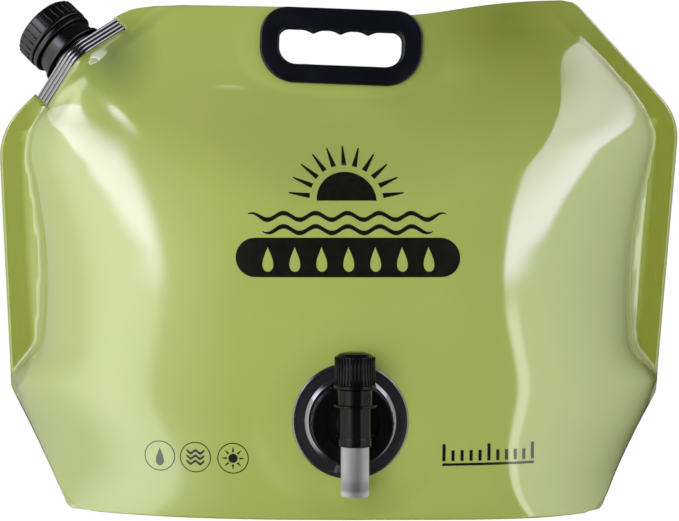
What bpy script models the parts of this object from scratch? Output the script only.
"""Collapsible water carrier: a standing film bag with a two-piece handle, a corner filler and a tap.

Metres, +Z up. The bag stands on z = 0 with its weld seam in the plane y = 0. The tap is on the
front wall, towards -Y, and the filler is at the upper left corner, towards -X.
"""
from bisect import bisect_right
from math import acos, atan2, cos, hypot, pi, radians, sin, sqrt, tan

import bmesh
import bpy
from mathutils import Matrix, Vector

for old in list(bpy.data.objects):
    bpy.data.objects.remove(old)

MM = 0.001

# Clearances that every fit shares
FIT_GAP = 0.3 * MM
RUNNING_GAP = 0.3 * MM
OVERRUN = 5.0 * MM
MERGE = 0.001 * MM
SHARP_ANGLE = radians(35.0)

# Film bag, laid out in the plane of its seam
FILM = 0.5 * MM
BAG_HALF_WIDTH = 205.5 * MM
TOP_HEIGHT = 297.0 * MM
TOP_RISE = 2.0 * MM
LEFT_CHAMFER = 75.3 * MM
RIGHT_CHAMFER_RUN = 64.0 * MM
RIGHT_CHAMFER_DROP = 71.0 * MM
FOOT_HEIGHT = 71.0 * MM
LEFT_FOOT_DRAW = 8.0 * MM
RIGHT_FOOT_DRAW = 14.0 * MM
LEFT_BASE_DRAW = 47.5 * MM
RIGHT_BASE_DRAW = 61.0 * MM
SHOULDER_RADIUS = 11.0 * MM
TOP_CORNER_RADIUS = 16.0 * MM
FOOT_RADIUS = 8.0 * MM
SIDE_WELD = 14.5 * MM
TOP_WELD = 13.5 * MM
WELD_TAPER = 25.0 * MM
LEAST_CELL = 0.5 * MM

# How far the filled walls stand out from the seam
MAX_DEPTH = 70.5 * MM
MAX_DEPTH_HEIGHT = 60.0 * MM
BASE_DEPTH = 66.0 * MM
BASE_CORNER_DEPTH = 35.0 * MM
UPPER_FALL_SHARE = 0.9
SIDE_POWER_SHARE = 2.2
SIDE_FALL_SHARE = 0.62
BASE_FALL_SHARE = 1.0

# Bottom gusset
GUSSET_SKIRT = 8.0 * MM
GUSSET_FOLD = 3.0 * MM
GUSSET_RETURN = 11.0 * MM
GUSSET_FLAT_HALF = 100.0 * MM
GUSSET_END_SHARE = 0.86
GUSSET_FOLD_SHARE = 0.5
GUSSET_FLOOR_SHARE = 0.25
GUSSET_SLACK = 1.5 * MM

# Handle, in the plane of the seam
HANDLE_DROP = 25.0 * MM
HANDLE_SHIFT = 1.0 * MM
HANDLE_TILT = radians(2.2)
HANDLE_WIDTH = 98.0 * MM
HANDLE_TALL = 45.5 * MM
HANDLE_PLATE = 4.2 * MM
HANDLE_EDGE = 1.2 * MM
HANDLE_TOP_ROUND_SHARE = 0.363
HANDLE_BOTTOM_ROUND_SHARE = 0.483
GRIP_WIDTH = 74.4 * MM
GRIP_TOP_BAR = 12.6 * MM
GRIP_BOTTOM_BAR = 11.3 * MM
GRIP_TOP_ROUND_SHARE = 0.28
GRIP_BOTTOM_ROUND_SHARE = 0.58
SCALLOP_PITCH = 16.6 * MM
SCALLOP_DEPTH = 2.7 * MM
SCALLOP_CUSPS = 3
SCALLOP_POWER_SHARE = 1.5
STUD_RADIUS = 2.0 * MM
STUD_REACH = 2.6 * MM
STUD_SPACING = 29.0 * MM
FILM_SLOT_MARGIN = 1.6 * MM
HANDLE_WELD = 13.0 * MM
HANDLE_FADE = 52.0 * MM

# Filler, along its own axis from the outer face of its boat
SPOUT_ALONG = 11.0 * MM
SPOUT_INSET = 2.4 * MM
SPOUT_LEAN = radians(12.0)
NECK_BORE = 15.0 * MM
BOAT_RADIUS = 17.0 * MM
BOAT_HALF_LENGTH = 33.0 * MM
BOAT_HEIGHT = 9.5 * MM
BOAT_TIP = 1.3 * MM
BOAT_RIB = 0.7 * MM
BOAT_RIBS = 3
BOAT_FILM_GAP = 1.2 * MM
BOAT_FADE = 48.0 * MM
SPOUT_FILM_EDGE = 0.8 * MM
NECK_FLANGE_RADIUS = 21.0 * MM
NECK_FLANGE_BASE = 2.0 * MM
NECK_FLANGE_THICK = 2.0 * MM
COLLAR_RADIUS = 19.0 * MM
COLLAR_TOP = 12.0 * MM
NECK_RADIUS = 17.0 * MM
NECK_TOP = 26.0 * MM
THREAD_HEIGHT = 1.1 * MM
RING_HEIGHT = 3.7 * MM
RING_RADIUS = 21.0 * MM
LINER_THICK = 1.2 * MM
LINER_RADIUS = 18.2 * MM
CAP_RADIUS = 20.9 * MM
CAP_TALL = 13.5 * MM
CAP_WALL = 2.0 * MM
CAP_BAND = 2.6 * MM
CAP_EDGE = 1.4 * MM
CAP_RIBS = 28
CAP_RIB_WIDTH = 0.8 * MM
CAP_RIB_PROUD = 0.5 * MM

# Tap flange, gasket, disc and nut, along the tap's own axis from the film outwards
TAP_HEIGHT = 56.2 * MM
TAP_SEAT_DEPTH = 70.2 * MM
TAP_FLAT_RADIUS = 38.0 * MM
TAP_FADE_RADIUS = 72.0 * MM
FLANGE_RADIUS = 32.0 * MM
FLANGE_RIM = 1.3 * MM
FLANGE_RIM_SHARE = 0.6
FLANGE_HUB_RADIUS = 23.5 * MM
FLANGE_HUB = 2.6 * MM
TAP_NECK_RADIUS = 18.5 * MM
TAP_NECK_TOP = 9.0 * MM
TAP_NECK_BORE = 13.0 * MM
GASKET_THICK = 1.2 * MM
DISC_THICK = 1.8 * MM
NUT_RADIUS = 22.3 * MM
NUT_LIP = 1.4 * MM
NUT_MOUTH = 14.5 * MM
NUT_EDGE = 1.0 * MM
NUT_RIBS = 24
NUT_RIB_WIDTH = 1.2 * MM
NUT_RIB_PROUD = 0.5 * MM

# Valve, about its own upright axis, which stands off from the film; heights are from the tap's axis
VALVE_REACH = 26.2 * MM
SNOUT_RADIUS = 8.0 * MM
INLET_RADIUS = 4.6 * MM
PLUG_RADIUS = 7.45 * MM
BODY_WALL = 0.75 * MM
BODY_UPPER_RADIUS = 9.2 * MM
BODY_TOP = 20.5 * MM
BODY_LIP = 2.2 * MM
BODY_STEP = 11.2 * MM
BODY_RING_RADIUS = 11.7 * MM
BODY_RING_THICK = 1.3 * MM
BODY_BOTTOM = 9.6 * MM
BODY_COLLAR_RADIUS = 8.9 * MM
BODY_COLLAR_HEIGHT = 4.6 * MM
BODY_COLLAR_SHARE = 0.8
STEM_RADIUS = 4.4 * MM
STEM_TALL = 13.0 * MM
NOZZLE_REACH = 36.1 * MM
NOZZLE_BORE = 6.2 * MM
PLUG_BORE = 4.8 * MM
PLUG_BORE_TOP = 5.6 * MM
PORT_RADIUS = 3.8 * MM
SEAL_HEIGHT = 7.2 * MM
SEAL_RADIUS = 0.55 * MM
GROOVE_FLOOR = 6.1 * MM
KNOB_RADIUS = 10.7 * MM
KNOB_SKIRT_RADIUS = 11.3 * MM
KNOB_SKIRT = 2.0 * MM
KNOB_TALL = 19.6 * MM
KNOB_DOME = 2.4 * MM
KNOB_DOME_SHARES = ((0.45, 0.12), (0.75, 0.45), (0.93, 1.0))
KNOB_SKIRT_SHARE = 0.8
KNOB_RIBS = 34
KNOB_RIB_ROOT_SHARE = 0.8
KNOB_RIB_WIDTH = 0.9 * MM
KNOB_RIB_PROUD = 0.3 * MM

# How finely round shapes are divided
ROUND_STEPS = 36
FINE_STEPS = 26
STUD_STEPS = 12
CORNER_STEPS = 4
SEAL_STEPS = 5
BORE_STEPS = 16
BOAT_STEPS = 7
SCALLOP_STEPS = 6
FILM_ACROSS_STEPS = (1, 8, 2, 1, 3, 1, 4, 2, 1, 0)
FILM_UP_STEPS = (1, 3, 4, 2, 5, 1, 0)


# Collections, materials and the few shape tools that the pieces share

parts = bpy.data.collections.new("collapsible_water_carrier")
cutters = bpy.data.collections.new("cutters")
bpy.context.scene.collection.children.link(parts)
bpy.context.scene.collection.children.link(cutters)


def finish(name, colour, roughness, alpha=1.0):
    """A Principled material with the part's colour, roughness and see-through share."""
    material = bpy.data.materials.new(name)
    material.use_nodes = True
    shader = material.node_tree.nodes["Principled BSDF"]
    shader.inputs["Base Color"].default_value = (*colour, 1.0)
    shader.inputs["Roughness"].default_value = roughness
    shader.inputs["Metallic"].default_value = 0.0
    shader.inputs["Alpha"].default_value = alpha
    return material


def frame(name, location, rotation=(0.0, 0.0, 0.0)):
    """An empty on a joint's axis, or at the seat that a group of pieces shares."""
    empty = bpy.data.objects.new(name, None)
    empty.location = location
    empty.rotation_euler = rotation
    empty.empty_display_size = OVERRUN
    parts.objects.link(empty)
    return empty


def add(name, mesh, seat, height=0.0, material=None):
    """A piece or a cutter from a mesh, on its seat's axis and as far along it as given."""
    item = bpy.data.objects.new(name, mesh)
    item.parent = seat
    item.location = (0.0, 0.0, height)
    if material is None:
        item.hide_render = True
        item.display_type = "WIRE"
        cutters.objects.link(item)
    else:
        mesh.materials.clear()
        mesh.materials.append(material)
        parts.objects.link(item)
    mesh.shade_smooth()
    mesh.set_sharp_from_angle(angle=SHARP_ANGLE)
    return item


def profile_mesh(name, points, closed):
    """A half section in the plane y = 0, as (radius, height) pairs."""
    mesh = bpy.data.meshes.new(name)
    edges = [(i, i + 1) for i in range(len(points) - 1)]
    if closed:
        edges.append((len(points) - 1, 0))
    mesh.from_pydata([(radius, 0.0, height) for radius, height in points], edges, [])
    return mesh


def turned(name, points, seat, height=0.0, material=None, closed=False, steps=ROUND_STEPS):
    """A turned piece: its half section runs down the outer side, then back up any bore."""
    item = add(name, profile_mesh(name, points, closed), seat, height, material)
    turn = item.modifiers.new("turn", "SCREW")
    turn.axis = "Z"
    turn.steps = steps
    turn.render_steps = steps
    turn.use_merge_vertices = True
    turn.merge_threshold = MERGE
    return item


def drum(name, radius, low, high, seat, steps=FINE_STEPS):
    """A plain cylinder to cut with, along its seat's axis, from a low to a high station."""
    mesh = bpy.data.meshes.new(name)
    shape = bmesh.new()
    bmesh.ops.create_cone(
        shape, cap_ends=True, segments=steps, radius1=radius, radius2=radius, depth=high - low)
    shape.to_mesh(mesh)
    shape.free()
    return add(name, mesh, seat, (low + high) / 2)


def cut(item, tool, operation="DIFFERENCE"):
    """An exact Boolean, whose tool stays as a hidden wire object."""
    step = item.modifiers.new(operation.lower(), "BOOLEAN")
    step.operation = operation
    step.solver = "EXACT"
    step.object = tool


def ribs(name, count, width, inner, outer, low, high, seat):
    """Straight ribs round an axis, as blocks from an inner to an outer radius."""
    mesh = bpy.data.meshes.new(name)
    shape = bmesh.new()
    for i in range(count):
        size = Matrix.Diagonal((outer - inner, width, high - low, 1.0))
        out = Matrix.Translation(((inner + outer) / 2, 0.0, (low + high) / 2))
        turn = Matrix.Rotation(2 * pi * i / count, 4, "Z")
        bmesh.ops.create_cube(shape, size=1.0, matrix=turn @ out @ size)
    shape.to_mesh(mesh)
    shape.free()
    return add(name, mesh, seat)


def rounded_loop(corners, steps=CORNER_STEPS):
    """A closed outline with an arc at each (x, y, radius) corner."""
    loop = []
    count = len(corners)
    for i, (x, y, radius) in enumerate(corners):
        here = Vector((x, y))
        back = (Vector(corners[i - 1][:2]) - here).normalized()
        ahead = (Vector(corners[(i + 1) % count][:2]) - here).normalized()
        half = back.angle(ahead) / 2
        centre = here + (back + ahead).normalized() * radius / sin(half)
        first = here + back * radius / tan(half) - centre
        sweep = first.angle_signed(here + ahead * radius / tan(half) - centre)
        for k in range(steps + 1):
            spoke = first.copy()
            spoke.rotate(Matrix.Rotation(-sweep * k / steps, 2))
            loop.append(tuple(centre + spoke))
    return loop


def plate(name, loops, half_depth, seat, height=0.0, material=None, edge=0.0):
    """A flat outline, with any holes in it, given thickness and a bevelled edge."""
    curve = bpy.data.curves.new(name, "CURVE")
    curve.dimensions = "2D"
    curve.fill_mode = "BOTH"
    curve.extrude = half_depth - edge
    curve.bevel_depth = edge
    curve.bevel_resolution = 0
    curve.offset = -edge
    for loop in loops:
        spline = curve.splines.new("POLY")
        spline.points.add(len(loop) - 1)
        for point, (x, y) in zip(spline.points, loop):
            point.co = (x, y, 0.0, 1.0)
        spline.use_cyclic_u = True
    item = bpy.data.objects.new(name, curve)
    parts.objects.link(item)
    seen = item.evaluated_get(bpy.context.evaluated_depsgraph_get())
    mesh = bpy.data.meshes.new_from_object(seen)
    bpy.data.objects.remove(item)
    shape = bmesh.new()
    shape.from_mesh(mesh)
    bmesh.ops.remove_doubles(shape, verts=shape.verts, dist=MERGE)
    bmesh.ops.recalc_face_normals(shape, faces=shape.faces)
    shape.to_mesh(mesh)
    shape.free()
    return add(name, mesh, seat, height, material)


def ease(t):
    """Smooth step from 0 to 1."""
    t = min(max(t, 0.0), 1.0)
    return t * t * (3.0 - 2.0 * t)


def spaced(stops, counts):
    """Stations through stops, with as many steps to the next as each one's count, never too close."""
    stops = sorted(zip(stops, counts))
    stations = [stops[0][0]]
    for (here, count), (after, _) in zip(stops, stops[1:]):
        for k in range(count):
            station = here + (after - here) * (k + 1) / count
            if station - stations[-1] > LEAST_CELL:
                stations.append(station)
    return stations


green_film = finish("green_film", (0.42, 0.49, 0.13), 0.15, 0.8)
black_handle = finish("black_handle", (0.012, 0.013, 0.02), 0.4)
black_cap = finish("black_cap", (0.012, 0.012, 0.012), 0.3)
smoke_flange = finish("smoke_flange", (0.03, 0.03, 0.035), 0.2)
black_valve = finish("black_valve", (0.01, 0.01, 0.01), 0.3)
clear_plug = finish("clear_plug", (0.6, 0.6, 0.6), 0.25, 0.7)
black_rubber = finish("black_rubber", (0.02, 0.02, 0.02), 0.7)
white_liner = finish("white_liner", (0.75, 0.75, 0.72), 0.6)


# Seats: one frame for the bag and one on each axis that pieces share

LEFT_FOOT_REACH = BAG_HALF_WIDTH - LEFT_FOOT_DRAW
RIGHT_FOOT_REACH = BAG_HALF_WIDTH - RIGHT_FOOT_DRAW
LEFT_BASE_REACH = BAG_HALF_WIDTH - LEFT_BASE_DRAW
RIGHT_BASE_REACH = BAG_HALF_WIDTH - RIGHT_BASE_DRAW
LEFT_SHOULDER = Vector((-BAG_HALF_WIDTH, TOP_HEIGHT - LEFT_CHAMFER))
LEFT_TOP = Vector((-BAG_HALF_WIDTH + LEFT_CHAMFER, TOP_HEIGHT))
RIGHT_SHOULDER = Vector((BAG_HALF_WIDTH, TOP_HEIGHT + TOP_RISE - RIGHT_CHAMFER_DROP))
RIGHT_TOP = Vector((BAG_HALF_WIDTH - RIGHT_CHAMFER_RUN, TOP_HEIGHT + TOP_RISE))
LEFT_FOOT = Vector((-LEFT_FOOT_REACH, FOOT_HEIGHT))
RIGHT_FOOT = Vector((RIGHT_FOOT_REACH, FOOT_HEIGHT))
CHAMFER_WAY = (LEFT_TOP - LEFT_SHOULDER).normalized()
CHAMFER_OUT = Vector((-CHAMFER_WAY.y, CHAMFER_WAY.x))
SPOUT_AT = (LEFT_SHOULDER + LEFT_TOP) / 2 + CHAMFER_WAY * SPOUT_ALONG - CHAMFER_OUT * SPOUT_INSET
SPOUT_TURN = -atan2(CHAMFER_WAY.y, CHAMFER_WAY.x)
FACE_FRONT = radians(90.0)
HANDLE_HEIGHT = TOP_HEIGHT - HANDLE_DROP
WELD_MID = (FILM + FIT_GAP) / 2
TAP_SEAT = TAP_SEAT_DEPTH + WELD_MID + FILM / 2 + FIT_GAP

bag_seat = frame("bag_seat", (0.0, 0.0, 0.0))
seam_seat = frame("seam_seat", (0.0, 0.0, 0.0), (FACE_FRONT, 0.0, 0.0))
handle_seat = frame(
    "handle_seat", (HANDLE_SHIFT, 0.0, HANDLE_HEIGHT), (FACE_FRONT, HANDLE_TILT, 0.0))
filler_axis = frame("filler_axis", (SPOUT_AT.x, 0.0, SPOUT_AT.y), (-SPOUT_LEAN, SPOUT_TURN, 0.0))
tap_axis = frame("tap_axis", (0.0, -TAP_SEAT, TAP_HEIGHT), (FACE_FRONT, 0.0, 0.0))
valve_axis = frame("valve_axis", (0.0, -TAP_SEAT - VALVE_REACH, TAP_HEIGHT))


# Film walls: the shape of the filled bag as a formula of the place on the seam plane

def side_reach(z, side):
    """How far the seam's edge stands from the middle at a height, on the left or the right."""
    base = LEFT_BASE_REACH if side < 0 else RIGHT_BASE_REACH
    foot = LEFT_FOOT_REACH if side < 0 else RIGHT_FOOT_REACH
    shoulder = LEFT_SHOULDER.y if side < 0 else RIGHT_SHOULDER.y
    top = LEFT_TOP if side < 0 else RIGHT_TOP
    if z < FOOT_HEIGHT:
        return base + (foot - base) * z / FOOT_HEIGHT
    if z < shoulder:
        return foot + (BAG_HALF_WIDTH - foot) * (z - FOOT_HEIGHT) / (shoulder - FOOT_HEIGHT)
    fall = (z - shoulder) / (top.y - shoulder)
    return BAG_HALF_WIDTH + (abs(top.x) - BAG_HALF_WIDTH) * fall


def boat_half(s):
    """Half thickness of the filler's boat: a round middle with straight flanks to its tips."""
    turn = acos(BOAT_RADIUS / BOAT_HALF_LENGTH)
    s = abs(s)
    if s < BOAT_RADIUS * cos(turn):
        return sqrt(BOAT_RADIUS ** 2 - s ** 2)
    flank = BOAT_RADIUS * sin(turn) / (BOAT_HALF_LENGTH - BOAT_RADIUS * cos(turn))
    return max((BOAT_HALF_LENGTH - s) * flank, 0.0)


def handle_distance(x, z):
    """Distance outside the flat weld round the handle, zero or less inside it."""
    across = cos(HANDLE_TILT) * (x - HANDLE_SHIFT) - sin(HANDLE_TILT) * (z - HANDLE_HEIGHT)
    up = sin(HANDLE_TILT) * (x - HANDLE_SHIFT) + cos(HANDLE_TILT) * (z - HANDLE_HEIGHT)
    beside = abs(across) - HANDLE_WIDTH / 2 - HANDLE_WELD
    below = -up - HANDLE_TALL / 2 - HANDLE_WELD
    return hypot(max(beside, 0.0), max(below, 0.0))


def wall_depth(x, z):
    """Half thickness of the filled bag at a place on the seam plane."""
    side = -1 if x < 0 else 1
    weld = SIDE_WELD * ease((z - FOOT_HEIGHT) / WELD_TAPER)
    left = side_reach(z, -1) - weld
    right = side_reach(z, 1) - weld
    across = abs(2 * x - (right - left)) / (left + right)
    edge = BASE_CORNER_DEPTH * max(1.0 - max(z, 0.0) / FOOT_HEIGHT, 0.0)
    if z < MAX_DEPTH_HEIGHT:
        middle = BASE_DEPTH + (MAX_DEPTH - BASE_DEPTH) * ease(z / MAX_DEPTH_HEIGHT)
    else:
        rise = (z - MAX_DEPTH_HEIGHT) / (TOP_HEIGHT - TOP_WELD - MAX_DEPTH_HEIGHT)
        middle = MAX_DEPTH * max(1.0 - rise ** 2, 0.0) ** UPPER_FALL_SHARE
    fall = BASE_FALL_SHARE + (SIDE_FALL_SHARE - BASE_FALL_SHARE) * ease(z / FOOT_HEIGHT)
    crown = max(1.0 - across ** SIDE_POWER_SHARE, 0.0) ** fall
    depth = edge + max(middle - edge, 0.0) * crown
    clear = min(handle_distance(x, z) / HANDLE_FADE, 1.0)
    depth *= 1.0 - (1.0 - clear) ** 2
    near = ease((hypot(x, z - TAP_HEIGHT) - TAP_FLAT_RADIUS) / (TAP_FADE_RADIUS - TAP_FLAT_RADIUS))
    return TAP_SEAT_DEPTH + (depth - TAP_SEAT_DEPTH) * near


def boat_place(x, z):
    """Place on the seam plane as seen from the filler: along its boat, and inward from its face."""
    out = Vector((x, z)) - SPOUT_AT
    return out.dot(CHAMFER_WAY), -out.dot(CHAMFER_OUT)


def wall_place(x, z, side):
    """Middle of the film at a place on the seam plane, on the front (-1) or the back (1)."""
    along, inward = boat_place(x, z)
    hold = 1.0 - ease((inward - BOAT_HEIGHT) / BOAT_FADE)
    ends = 1.0 - ease((abs(along) - BOAT_HALF_LENGTH) / BOAT_RADIUS)
    boat = boat_half(along) / cos(SPOUT_LEAN) * hold
    if abs(along) < BOAT_HALF_LENGTH:
        boat += (BOAT_TIP + BOAT_FILM_GAP) * hold
    sway = min(inward, BOAT_HEIGHT) * tan(SPOUT_LEAN) * hold * ends
    depth = (wall_depth(x, z) ** 3 + boat ** 3) ** (1 / 3) + WELD_MID
    return side * depth - sway


across_lines = spaced([
    -BAG_HALF_WIDTH - OVERRUN,
    SPOUT_AT.x - BOAT_HALF_LENGTH,
    SPOUT_AT.x + BOAT_HALF_LENGTH + BOAT_HEIGHT,
    -HANDLE_WIDTH / 2 - HANDLE_WELD,
    -TAP_FLAT_RADIUS,
    TAP_FLAT_RADIUS,
    HANDLE_WIDTH / 2 + HANDLE_WELD,
    RIGHT_BASE_REACH,
    BAG_HALF_WIDTH - SIDE_WELD,
    BAG_HALF_WIDTH + OVERRUN,
], FILM_ACROSS_STEPS)
up_lines = spaced([
    -OVERRUN,
    TAP_HEIGHT - TAP_FLAT_RADIUS,
    TAP_HEIGHT + TAP_FLAT_RADIUS,
    SPOUT_AT.y - BOAT_HALF_LENGTH - BOAT_HEIGHT,
    HANDLE_HEIGHT - HANDLE_TALL / 2 - HANDLE_WELD,
    TOP_HEIGHT - TOP_WELD,
    TOP_HEIGHT + TOP_RISE + OVERRUN,
], FILM_UP_STEPS)


def film_sheet(name, rows):
    """Film through rows of places: a grid, split along its falling diagonals, and its thickness."""
    up = len(rows) - 1
    across = len(rows[0]) - 1
    mesh = bpy.data.meshes.new(name)
    sheet = bmesh.new()
    bmesh.ops.create_grid(sheet, x_segments=across, y_segments=up, size=1.0)
    bmesh.ops.triangulate(sheet, faces=sheet.faces, quad_method="ALTERNATE")
    for vertex in sheet.verts:
        row = rows[round((vertex.co.y + 1.0) / 2 * up)]
        vertex.co = row[round((vertex.co.x + 1.0) / 2 * across)]
    sheet.to_mesh(mesh)
    sheet.free()
    film = add(name, mesh, bag_seat, 0.0, green_film)
    thicken = film.modifiers.new("film", "SOLIDIFY")
    thicken.thickness = FILM
    thicken.offset = 0.0
    return film


def film_wall(name, side):
    """One wall of the bag, to be die-cut to its outline."""
    return film_sheet(name, [[
        (x, wall_place(x, z, side), z) for x in across_lines] for z in up_lines])


bag_outline = plate("bag_outline", [rounded_loop([
    (-LEFT_BASE_REACH, 0.0, FOOT_RADIUS),
    (RIGHT_BASE_REACH, 0.0, FOOT_RADIUS),
    (RIGHT_FOOT.x, RIGHT_FOOT.y, FOOT_RADIUS),
    (RIGHT_SHOULDER.x, RIGHT_SHOULDER.y, SHOULDER_RADIUS),
    (RIGHT_TOP.x, RIGHT_TOP.y, TOP_CORNER_RADIUS),
    (LEFT_TOP.x, LEFT_TOP.y, TOP_CORNER_RADIUS),
    (LEFT_SHOULDER.x, LEFT_SHOULDER.y, SHOULDER_RADIUS),
    (LEFT_FOOT.x, LEFT_FOOT.y, FOOT_RADIUS),
])], MAX_DEPTH + OVERRUN, seam_seat)

spout_clearing = drum("spout_clearing", BOAT_HALF_LENGTH, SPOUT_FILM_EDGE, NECK_TOP, filler_axis)
front_panel = film_wall("front_panel", -1)
back_panel = film_wall("back_panel", 1)
for wall in (front_panel, back_panel):
    cut(wall, bag_outline, "INTERSECT")
    cut(wall, spout_clearing)


# Handle: two plates with a grip hole; the back one's studs go through the film into the front one

GRIP_TOP = HANDLE_TALL / 2 - GRIP_TOP_BAR
GRIP_BOTTOM = -HANDLE_TALL / 2 + GRIP_BOTTOM_BAR
GRIP_TOP_RADIUS = (GRIP_TOP - GRIP_BOTTOM) * GRIP_TOP_ROUND_SHARE
GRIP_BOTTOM_RADIUS = (GRIP_TOP - GRIP_BOTTOM) * GRIP_BOTTOM_ROUND_SHARE
HANDLE_TOP_RADIUS = HANDLE_TALL * HANDLE_TOP_ROUND_SHARE
HANDLE_BOTTOM_RADIUS = HANDLE_TALL * HANDLE_BOTTOM_ROUND_SHARE
HANDLE_SEAT = FILM + 1.5 * FIT_GAP


def grip_loop(margin, scalloped):
    """Outline of the grip hole, grown by a margin, with finger scallops in its upper edge."""
    loop = rounded_loop([
        (-GRIP_WIDTH / 2 - margin, GRIP_BOTTOM - margin, GRIP_BOTTOM_RADIUS + margin),
        (GRIP_WIDTH / 2 + margin, GRIP_BOTTOM - margin, GRIP_BOTTOM_RADIUS + margin),
        (GRIP_WIDTH / 2 + margin, GRIP_TOP + margin, GRIP_TOP_RADIUS + margin),
        (-GRIP_WIDTH / 2 - margin, GRIP_TOP + margin, GRIP_TOP_RADIUS + margin),
    ])
    if not scalloped:
        return loop
    half = SCALLOP_PITCH * SCALLOP_CUSPS / 2
    steps = SCALLOP_CUSPS * SCALLOP_STEPS
    edge = []
    for k in range(steps + 1):
        x = half - 2 * half * k / steps
        swell = abs(cos(pi * x / SCALLOP_PITCH + pi * (SCALLOP_CUSPS - 1) / 2 + pi / 2))
        edge.append((x, GRIP_TOP - SCALLOP_DEPTH * (1.0 - swell) ** SCALLOP_POWER_SHARE))
    upper_left = 3 * (CORNER_STEPS + 1)
    return loop[:upper_left] + edge + loop[upper_left:]


handle_loop = rounded_loop([
    (-HANDLE_WIDTH / 2, -HANDLE_TALL / 2, HANDLE_BOTTOM_RADIUS),
    (HANDLE_WIDTH / 2, -HANDLE_TALL / 2, HANDLE_BOTTOM_RADIUS),
    (HANDLE_WIDTH / 2, HANDLE_TALL / 2, HANDLE_TOP_RADIUS),
    (-HANDLE_WIDTH / 2, HANDLE_TALL / 2, HANDLE_TOP_RADIUS),
])
STUD_RISE = (HANDLE_TALL / 2 + GRIP_TOP) / 2
STUD_FALL = (HANDLE_TALL / 2 - GRIP_BOTTOM) / 2
STUD_PLACES = [(STUD_SPACING * k, STUD_RISE) for k in (-1, 0, 1)]
STUD_PLACES += [(STUD_SPACING * k, -STUD_FALL) for k in (-1, 0, 1)]


def studs(name, radius, low, high):
    """The round studs, or the holes that take them, as one set of cylinders."""
    mesh = bpy.data.meshes.new(name)
    shape = bmesh.new()
    for x, y in STUD_PLACES:
        bmesh.ops.create_cone(
            shape, cap_ends=True, segments=STUD_STEPS, radius1=radius, radius2=radius,
            depth=high - low, matrix=Matrix.Translation((x, y, (low + high) / 2)))
    shape.to_mesh(mesh)
    shape.free()
    return add(name, mesh, handle_seat)


handle_front = plate(
    "handle_front", [handle_loop, grip_loop(0.0, True)], HANDLE_PLATE / 2, handle_seat,
    HANDLE_SEAT + HANDLE_PLATE / 2, black_handle, HANDLE_EDGE)
handle_back = plate(
    "handle_back", [handle_loop, grip_loop(0.0, True)], HANDLE_PLATE / 2, handle_seat,
    -HANDLE_SEAT - HANDLE_PLATE / 2, black_handle, HANDLE_EDGE)
cut(handle_front, studs("stud_sockets", STUD_RADIUS + FIT_GAP, -HANDLE_SEAT,
                        HANDLE_SEAT + STUD_REACH + FIT_GAP))
cut(handle_back, studs("stud_pins", STUD_RADIUS, -HANDLE_SEAT - HANDLE_PLATE / 2,
                       HANDLE_SEAT + STUD_REACH), "UNION")
film_slot = plate("film_slot", [grip_loop(FILM_SLOT_MARGIN, False)], OVERRUN, handle_seat)
stud_holes = studs("stud_holes", STUD_RADIUS + 2 * FIT_GAP, -OVERRUN, OVERRUN)
for wall in (front_panel, back_panel):
    cut(wall, film_slot)
    cut(wall, stud_holes)
cut(front_panel, drum("tap_hole", TAP_NECK_BORE, -OVERRUN, OVERRUN, tap_axis))


# Bottom gusset: a skirt inside the walls' lower edges, folded over to the flat base

def built_depth(x, z):
    """Depth of the back wall as its grid makes it, flat between three neighbouring places."""
    i = min(bisect_right(across_lines, x), len(across_lines) - 1) - 1
    j = min(bisect_right(up_lines, z), len(up_lines) - 1) - 1
    across = (x - across_lines[i]) / (across_lines[i + 1] - across_lines[i])
    up = (z - up_lines[j]) / (up_lines[j + 1] - up_lines[j])
    corner = wall_place(across_lines[i], up_lines[j], 1)
    beside = wall_place(across_lines[i + 1], up_lines[j], 1)
    above = wall_place(across_lines[i], up_lines[j + 1], 1)
    if across + up > 1.0:
        corner = wall_place(across_lines[i + 1], up_lines[j + 1], 1)
        beside, above = above, beside
        across, up = 1.0 - across, 1.0 - up
    return corner + (beside - corner) * across + (above - corner) * up


def gusset_station(x):
    """Foot of the wall at a station, its way into the wall, the crease's height and the slant."""
    reach = LEFT_FOOT_REACH if x < 0 else RIGHT_FOOT_REACH
    base = LEFT_BASE_REACH if x < 0 else RIGHT_BASE_REACH
    slope = FOOT_HEIGHT / (reach - base)
    rise = max(abs(x) - base, 0.0) * slope
    slant = ease((abs(x) - base) / GUSSET_SKIRT + 1.0)
    way = Vector((-slope * slant * (1 if x > 0 else -1), 1.0)).normalized()
    crease = max(abs(x) - GUSSET_FLAT_HALF, 0.0) / (reach - GUSSET_FLAT_HALF) * FOOT_HEIGHT
    return rise, way, crease, slant


def gusset_section(x):
    """Places across the gusset at a station: skirt, fold and floor in front, the same behind."""
    rise, way, crease, slant = gusset_station(x)
    foot = Vector((x, rise))
    head = foot + way * GUSSET_SKIRT
    fold = foot + way * (GUSSET_SKIRT - GUSSET_FOLD / 2)
    inset = FILM + 3 * FIT_GAP + GUSSET_SLACK * slant
    lip = built_depth(foot.x, foot.y) - inset
    top = built_depth(head.x, head.y) - inset
    inner = max(lip - GUSSET_FOLD, lip * GUSSET_FOLD_SHARE)
    floor = max(lip - GUSSET_RETURN, lip * GUSSET_FLOOR_SHARE)
    low = max(rise, crease * (1.0 - floor / max(lip, FILM)))
    front = [
        (foot.x, -lip, foot.y + FILM / 2),
        (head.x, -top, head.y),
        (fold.x, -inner, fold.y),
        (foot.x, -floor, low + FILM / 2),
    ]
    middle = [(foot.x, 0.0, max(crease, rise) + FILM / 2)]
    back = [(px, -py, pz) for px, py, pz in reversed(front)]
    return front + middle + back


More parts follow.
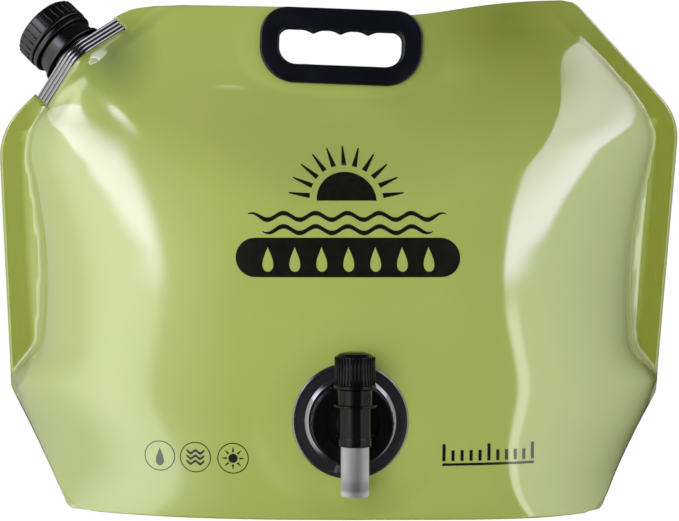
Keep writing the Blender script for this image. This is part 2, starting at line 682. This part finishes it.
GUSSET_LEFT_END = -LEFT_BASE_REACH - (LEFT_FOOT_REACH - LEFT_BASE_REACH) * GUSSET_END_SHARE
GUSSET_RIGHT_END = RIGHT_BASE_REACH + (RIGHT_FOOT_REACH - RIGHT_BASE_REACH) * GUSSET_END_SHARE
gusset_stations = sorted([
    GUSSET_LEFT_END,
    -LEFT_BASE_REACH - GUSSET_SKIRT,
    -LEFT_BASE_REACH,
    -LEFT_BASE_REACH + GUSSET_SKIRT,
    -GUSSET_FLAT_HALF,
    GUSSET_FLAT_HALF,
    RIGHT_BASE_REACH - GUSSET_SKIRT,
    RIGHT_BASE_REACH,
    RIGHT_BASE_REACH + GUSSET_SKIRT,
    GUSSET_RIGHT_END,
] + [x for x in across_lines if GUSSET_LEFT_END < x < GUSSET_RIGHT_END])


bottom_gusset = film_sheet("bottom_gusset", [gusset_section(x) for x in gusset_stations])


# Filler: a ribbed boat between the walls, and a neck that carries a ring, a liner and a cap

def boat_loop(proud):
    """Outline of the boat, seen along the filler's axis, grown by a little at its ribs."""
    share = 1.0 + proud / BOAT_HALF_LENGTH
    stations = [k / BOAT_STEPS * BOAT_HALF_LENGTH for k in range(-BOAT_STEPS, BOAT_STEPS + 1)]
    lower = [(s * share, -boat_half(s) - BOAT_TIP - proud) for s in stations]
    upper = [(s * share, boat_half(s) + BOAT_TIP + proud) for s in reversed(stations)]
    return lower + upper


def boat_mesh():
    """The boat as a stack of outlines, wider at its ribs, joined into one closed wall."""
    pitch = BOAT_HEIGHT / (2 * BOAT_RIBS - 1)
    levels = []
    for k in range(2 * BOAT_RIBS - 1):
        proud = 0.0 if k % 2 == 0 else -BOAT_RIB
        levels += [(-BOAT_HEIGHT + k * pitch, proud), (-BOAT_HEIGHT + (k + 1) * pitch, proud)]
    mesh = bpy.data.meshes.new("boat")
    shape = bmesh.new()
    rings = []
    for height, proud in levels:
        rings.append([shape.verts.new((x, y, height)) for x, y in boat_loop(proud)])
    count = len(rings[0])
    for low, high in zip(rings, rings[1:]):
        for i in range(count):
            j = (i + 1) % count
            shape.faces.new((low[i], low[j], high[j], high[i]))
    shape.faces.new(list(reversed(rings[0])))
    shape.faces.new(rings[-1])
    bmesh.ops.recalc_face_normals(shape, faces=shape.faces)
    shape.to_mesh(mesh)
    shape.free()
    return mesh


NECK_FLANGE_TOP = NECK_FLANGE_BASE + NECK_FLANGE_THICK
neck_section = [
    (0.0, NECK_TOP),
    (NECK_RADIUS, NECK_TOP),
    (NECK_RADIUS, COLLAR_TOP),
    (COLLAR_RADIUS, COLLAR_TOP),
    (COLLAR_RADIUS, NECK_FLANGE_TOP),
    (NECK_FLANGE_RADIUS, NECK_FLANGE_TOP),
    (NECK_FLANGE_RADIUS, NECK_FLANGE_BASE),
    (BOAT_RADIUS - BOAT_RIB, NECK_FLANGE_BASE),
    (BOAT_RADIUS - BOAT_RIB, -BOAT_HEIGHT / 2),
    (0.0, -BOAT_HEIGHT / 2),
]
filler_spout = add("filler_spout", boat_mesh(), filler_axis, 0.0, black_cap)
cut(filler_spout, turned("neck_core", neck_section, filler_axis), "UNION")
cut(filler_spout, drum("neck_bore", NECK_BORE, -BOAT_HEIGHT - OVERRUN, NECK_TOP + OVERRUN,
                       filler_axis))

RING_BASE = COLLAR_TOP + FIT_GAP
RING_BORE = NECK_RADIUS + FIT_GAP
tamper_ring = turned("tamper_ring", [
    (RING_RADIUS - CAP_EDGE / 2, RING_HEIGHT),
    (RING_RADIUS, RING_HEIGHT - CAP_EDGE / 2),
    (RING_RADIUS, 0.0),
    (RING_BORE, 0.0),
    (RING_BORE, RING_HEIGHT / 3),
    (NECK_RADIUS + THREAD_HEIGHT + FIT_GAP, RING_HEIGHT / 2),
    (NECK_RADIUS + THREAD_HEIGHT + FIT_GAP, RING_HEIGHT),
], filler_axis, RING_BASE, black_cap, closed=True, steps=FINE_STEPS)

LINER_BASE = NECK_TOP + FIT_GAP
cap_liner = turned("cap_liner", [
    (0.0, LINER_THICK),
    (LINER_RADIUS, LINER_THICK),
    (LINER_RADIUS, 0.0),
    (0.0, 0.0),
], filler_axis, LINER_BASE, white_liner)

CAP_TOP = LINER_BASE + LINER_THICK + FIT_GAP + CAP_WALL
CAP_BASE = CAP_TOP - CAP_TALL
CAP_BORE = NECK_RADIUS + THREAD_HEIGHT + 2 * FIT_GAP
filler_cap = turned("filler_cap", [
    (0.0, CAP_TALL),
    (CAP_RADIUS - CAP_EDGE, CAP_TALL),
    (CAP_RADIUS, CAP_TALL - CAP_EDGE),
    (CAP_RADIUS, CAP_BAND),
    (CAP_RADIUS + CAP_RIB_PROUD, CAP_BAND - CAP_RIB_PROUD),
    (CAP_RADIUS + CAP_RIB_PROUD, 0.0),
    (CAP_BORE, 0.0),
    (CAP_BORE, CAP_TALL - CAP_WALL),
    (0.0, CAP_TALL - CAP_WALL),
], filler_axis, CAP_BASE, black_cap, steps=2 * CAP_RIBS)
cap_ribs = ribs("cap_ribs", CAP_RIBS, CAP_RIB_WIDTH, CAP_RADIUS - CAP_WALL / 2,
                CAP_RADIUS + CAP_RIB_PROUD, CAP_BAND / 2, CAP_TALL - CAP_EDGE, filler_axis)
cap_ribs.location.z = CAP_BASE
cut(filler_cap, cap_ribs, "UNION")


# Tap fitting: flange and threaded neck on the film, gasket, and the nut that clamps the valve

tap_flange = turned("tap_flange", [
    (TAP_NECK_RADIUS, TAP_NECK_TOP),
    (TAP_NECK_RADIUS, FLANGE_HUB),
    (FLANGE_HUB_RADIUS, FLANGE_HUB),
    (FLANGE_RADIUS - FLANGE_RIM, FLANGE_RIM),
    (FLANGE_RADIUS, FLANGE_RIM * FLANGE_RIM_SHARE),
    (FLANGE_RADIUS, 0.0),
    (TAP_NECK_BORE, 0.0),
    (TAP_NECK_BORE, TAP_NECK_TOP),
], tap_axis, 0.0, smoke_flange, closed=True)

GASKET_BASE = TAP_NECK_TOP + FIT_GAP
tap_gasket = turned("tap_gasket", [
    (TAP_NECK_RADIUS, GASKET_THICK),
    (TAP_NECK_RADIUS, 0.0),
    (TAP_NECK_BORE, 0.0),
    (TAP_NECK_BORE, GASKET_THICK),
], tap_axis, GASKET_BASE, black_rubber, closed=True, steps=FINE_STEPS)

DISC_BASE = GASKET_BASE + GASKET_THICK + FIT_GAP
NUT_LIP_BASE = DISC_BASE + DISC_THICK + FIT_GAP
NUT_BASE = FLANGE_HUB + FIT_GAP
NUT_BORE = TAP_NECK_RADIUS + 2 * FIT_GAP
NUT_TALL = NUT_LIP_BASE + NUT_LIP - NUT_BASE
tap_nut = turned("tap_nut", [
    (NUT_MOUTH, NUT_TALL),
    (NUT_RADIUS - NUT_EDGE, NUT_TALL),
    (NUT_RADIUS, NUT_TALL - NUT_EDGE),
    (NUT_RADIUS, 0.0),
    (NUT_BORE, 0.0),
    (NUT_BORE, NUT_TALL - NUT_LIP),
    (NUT_MOUTH, NUT_TALL - NUT_LIP),
], tap_axis, NUT_BASE, black_valve, closed=True)
nut_ribs = ribs("nut_ribs", NUT_RIBS, NUT_RIB_WIDTH, NUT_RADIUS - NUT_EDGE,
                NUT_RADIUS + NUT_RIB_PROUD, NUT_EDGE, NUT_TALL - 2 * NUT_EDGE, tap_axis)
nut_ribs.location.z = NUT_BASE
cut(tap_nut, nut_ribs, "UNION")


# Valve body: an upright barrel on a snout, bored for the plug and for the water from the bag

BODY_BORE = PLUG_RADIUS + RUNNING_GAP
BODY_RADIUS = BODY_BORE + BODY_WALL
STEM_BORE = STEM_RADIUS + RUNNING_GAP
tap_body = turned("tap_body", [
    (0.0, BODY_TOP),
    (BODY_UPPER_RADIUS, BODY_TOP),
    (BODY_UPPER_RADIUS, BODY_STEP + BODY_RING_THICK),
    (BODY_RING_RADIUS, BODY_STEP + BODY_RING_THICK),
    (BODY_RING_RADIUS, BODY_STEP),
    (BODY_RADIUS, BODY_STEP),
    (BODY_RADIUS, -BODY_BOTTOM + BODY_COLLAR_HEIGHT),
    (BODY_COLLAR_RADIUS, -BODY_BOTTOM + BODY_COLLAR_HEIGHT * BODY_COLLAR_SHARE),
    (BODY_COLLAR_RADIUS, -BODY_BOTTOM),
    (0.0, -BODY_BOTTOM),
], valve_axis, 0.0, black_valve)
snout = turned("snout", [
    (0.0, VALVE_REACH),
    (SNOUT_RADIUS, VALVE_REACH),
    (SNOUT_RADIUS, DISC_BASE + DISC_THICK),
    (TAP_NECK_RADIUS, DISC_BASE + DISC_THICK),
    (TAP_NECK_RADIUS, DISC_BASE),
    (0.0, DISC_BASE),
], tap_axis)
cut(tap_body, snout, "UNION")
cut(tap_body, turned("plug_bore", [
    (0.0, BODY_TOP + OVERRUN),
    (STEM_BORE, BODY_TOP + OVERRUN),
    (STEM_BORE, BODY_TOP - BODY_LIP),
    (BODY_BORE, BODY_TOP - BODY_LIP),
    (BODY_BORE, -BODY_BOTTOM - OVERRUN),
    (0.0, -BODY_BOTTOM - OVERRUN),
], valve_axis, steps=FINE_STEPS))
cut(tap_body, drum("inlet_bore", INLET_RADIUS, DISC_BASE - OVERRUN, VALVE_REACH, tap_axis,
                   BORE_STEPS))


# Plug, seals and knob: they turn together a quarter turn, from shut to open

PLUG_TOP = BODY_TOP - BODY_LIP - FIT_GAP
STEM_TOP = BODY_TOP + STEM_TALL
GROOVE_HALF = SEAL_RADIUS + FIT_GAP
plug_section = [(0.0, STEM_TOP), (STEM_RADIUS, STEM_TOP), (STEM_RADIUS, PLUG_TOP),
                (PLUG_RADIUS, PLUG_TOP)]
for seal_at in (SEAL_HEIGHT, -SEAL_HEIGHT):
    plug_section += [
        (PLUG_RADIUS, seal_at + GROOVE_HALF),
        (GROOVE_FLOOR, seal_at + GROOVE_HALF),
        (GROOVE_FLOOR, seal_at - GROOVE_HALF),
        (PLUG_RADIUS, seal_at - GROOVE_HALF),
    ]
plug_section += [
    (PLUG_RADIUS, -NOZZLE_REACH),
    (NOZZLE_BORE, -NOZZLE_REACH),
    (NOZZLE_BORE, -BODY_BOTTOM - FIT_GAP),
    (PLUG_BORE, -BODY_BOTTOM + FIT_GAP),
    (PLUG_BORE, PLUG_BORE_TOP),
    (0.0, PLUG_BORE_TOP),
]
valve_plug = turned("valve_plug", plug_section, valve_axis, 0.0, clear_plug, steps=FINE_STEPS)
port_axis = frame("port_axis", (0.0, -TAP_SEAT - VALVE_REACH, TAP_HEIGHT), (0.0, FACE_FRONT, 0.0))
cut(valve_plug, drum("port", PORT_RADIUS, PLUG_BORE / 2, PLUG_RADIUS + OVERRUN, port_axis))

SEAL_RING = GROOVE_FLOOR + FIT_GAP + SEAL_RADIUS
seal_section = [
    (SEAL_RING + SEAL_RADIUS * cos(2 * pi * k / SEAL_STEPS),
     -SEAL_RADIUS * sin(2 * pi * k / SEAL_STEPS))
    for k in range(SEAL_STEPS)]
for seal_name, seal_at in (("valve_upper_seal", SEAL_HEIGHT), ("valve_lower_seal", -SEAL_HEIGHT)):
    turned(seal_name, seal_section, valve_axis, seal_at, black_rubber, closed=True,
           steps=FINE_STEPS)

KNOB_BASE = BODY_TOP + FIT_GAP
tap_knob = turned("tap_knob", [
    (0.0, KNOB_TALL),
    *((KNOB_RADIUS * out, KNOB_TALL - KNOB_DOME * down) for out, down in KNOB_DOME_SHARES),
    (KNOB_RADIUS, KNOB_SKIRT),
    (KNOB_SKIRT_RADIUS, KNOB_SKIRT * KNOB_SKIRT_SHARE),
    (KNOB_SKIRT_RADIUS, 0.0),
    (STEM_BORE, 0.0),
    (STEM_BORE, STEM_TALL),
    (0.0, STEM_TALL),
], valve_axis, KNOB_BASE, black_valve)
knob_ribs = ribs("knob_ribs", KNOB_RIBS, KNOB_RIB_WIDTH, KNOB_RADIUS * KNOB_RIB_ROOT_SHARE,
                 KNOB_RADIUS + KNOB_RIB_PROUD, KNOB_SKIRT / 2, KNOB_TALL - KNOB_DOME, valve_axis)
knob_ribs.location.z = KNOB_BASE
cut(tap_knob, knob_ribs, "UNION")
